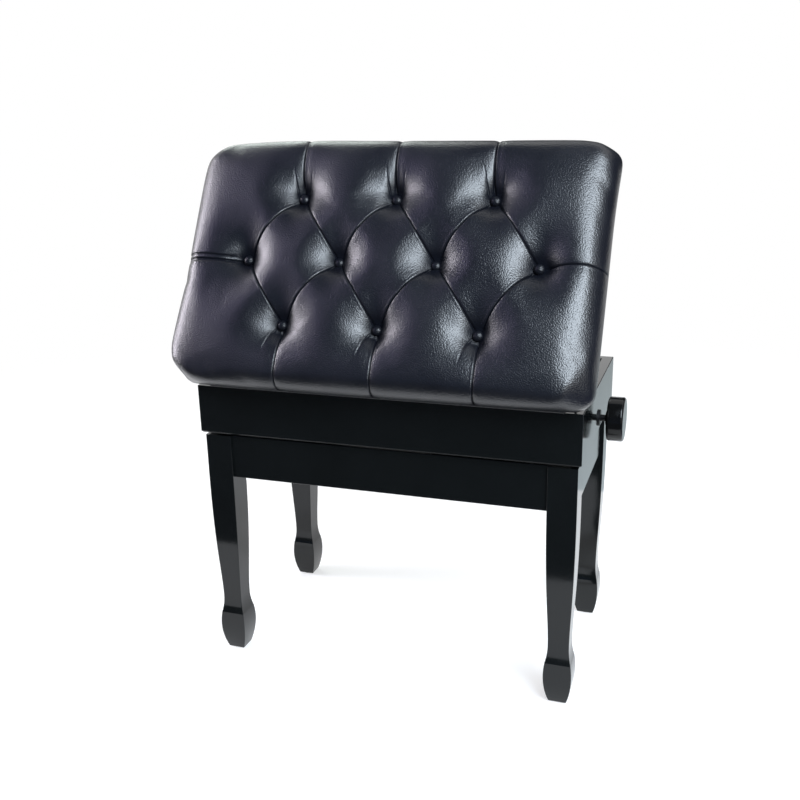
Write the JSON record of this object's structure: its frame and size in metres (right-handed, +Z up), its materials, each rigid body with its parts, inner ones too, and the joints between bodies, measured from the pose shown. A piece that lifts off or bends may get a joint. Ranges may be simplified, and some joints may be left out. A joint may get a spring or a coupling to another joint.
{
  "type": "adjustable piano stool",
  "caption": "Long piano stool with a deep-buttoned black leather seat that hinges up over a music tray, raised by a knob-driven scissor lift on tapered lacquered legs.",
  "frame": {"origin": "on the floor, midway between the four feet", "axes": "+Z up, +X along the seat towards the knob, +Y from the hinge side to the opening side"},
  "size_m": [0.575, 0.3379, 0.7184],
  "materials": {
    "black_lacquer": "high-gloss black lacquer on wood",
    "tray_veneer": "satin black stained plywood",
    "plywood": "raw birch plywood",
    "leather": "black grained leather with a soft gloss",
    "foam": "open-cell foam",
    "lining": "black non-woven lining",
    "twine": "waxed upholstery twine",
    "felt": "pressed felt",
    "black_steel": "black powder coat on steel",
    "zinc_steel": "bright zinc plate on steel",
    "brass": "turned brass",
    "nylon": "moulded natural nylon",
    "knob_plastic": "gloss black phenolic plastic",
    "rubber": "moulded black rubber"
  },
  "bodies": {
    "base": {"leg_front_left": "black_lacquer", "leg_front_right": "black_lacquer", "leg_rear_left": "black_lacquer", "leg_rear_right": "black_lacquer", "apron_front": "black_lacquer", "apron_rear": "black_lacquer", "apron_left": "black_lacquer", "apron_right": "black_lacquer", "corner_plates": "zinc_steel", "leg_bolts": "zinc_steel", "leg_nuts": "zinc_steel", "plate_screws": "zinc_steel", "foot_glides": "felt", "lower_rail_front": "black_steel", "lower_rail_rear": "black_steel", "lower_rail_screws": "zinc_steel", "lower_pivot_shaft": "zinc_steel"},
    "box": {"box_board_front": "black_lacquer", "box_board_rear": "black_lacquer", "box_board_left": "black_lacquer", "box_board_right": "black_lacquer", "tray_floor": "tray_veneer", "upper_rail_front": "black_steel", "upper_rail_rear": "black_steel", "upper_rail_screws": "zinc_steel", "fixed_bar": "black_steel", "spindle_bush": "black_steel", "hinge_leaf_box": "black_steel", "hinge_pin": "black_steel", "hinge_screws_box": "zinc_steel", "lid_bumpers": "rubber", "stay_tracks": "black_steel", "stay_track_screws": "zinc_steel"},
    "outer_arms": {"outer_arm_front": "black_steel", "outer_arm_rear": "black_steel", "scissor_pins": "zinc_steel"},
    "inner_arms": {"inner_arm_front": "black_steel", "inner_arm_rear": "black_steel", "lower_slide_shaft": "zinc_steel", "lower_slide_sleeves": "nylon"},
    "drive": {"drive_bar": "black_steel", "drive_nut": "brass", "upper_slide_sleeves": "nylon"},
    "spindle": {"spindle": "zinc_steel", "spindle_collar": "zinc_steel", "knob": "knob_plastic"},
    "lid": {"seat_board": "plywood", "seat_foam": "foam", "seat_cover": "leather", "seat_lining": "lining", "seat_buttons": "leather", "button_ties": "twine", "hinge_leaf_lid": "black_steel", "hinge_screws_lid": "zinc_steel", "stay_brackets": "black_steel", "stay_lid_pins": "zinc_steel", "stay_bracket_screws": "zinc_steel"},
    "stay_arms": {"stay_arm_left": "black_steel", "stay_arm_right": "black_steel", "stay_foot_pins": "zinc_steel"}
  },
  "joints": [
    {"name": "seat_lift", "type": "slide", "parent": "base", "child": "box", "axis": [0, 0, 1], "range_m": [0, 0.09]},
    {"name": "outer_arm_turn", "type": "hinge", "parent": "base", "child": "outer_arms", "pos_m": [-0.189, 0, 0.29], "axis": [0, -1, 0], "range_deg": [0, 14.2]},
    {"name": "inner_arm_turn", "type": "hinge", "parent": "box", "child": "inner_arms", "pos_m": [-0.189, 0, 0.359], "axis": [0, 1, 0], "range_deg": [0, 14.2]},
    {"name": "drive_bar_turn", "type": "hinge", "parent": "outer_arms", "child": "drive", "pos_m": [0.189, 0, 0.359], "axis": [0, 1, 0], "range_deg": [0, 14.2]},
    {"name": "knob_turn", "type": "hinge", "parent": "box", "child": "spindle", "pos_m": [0.275, 0, 0.359], "axis": [1, 0, 0], "range_deg": [0, 3385]},
    {"name": "lid_hinge", "type": "hinge", "parent": "box", "child": "lid", "pos_m": [0, -0.1515, 0.4105], "axis": [1, 0, 0], "range_deg": [-60, 0]},
    {"name": "stay_turn", "type": "hinge", "parent": "lid", "child": "stay_arms", "pos_m": [0, -0.08083, 0.51991], "axis": [1, 0, 0], "range_deg": [0, 120]}
  ],
  "couplings": [
    {"joint": "outer_arm_turn", "follows": "seat_lift", "rad_per_m": 2.7161},
    {"joint": "inner_arm_turn", "follows": "seat_lift", "rad_per_m": 2.7161},
    {"joint": "drive_bar_turn", "follows": "seat_lift", "rad_per_m": 2.7161},
    {"joint": "knob_turn", "follows": "seat_lift", "rad_per_m": 656.11},
    {"joint": "stay_turn", "follows": "lid_hinge", "ratio": -2}
  ]
}
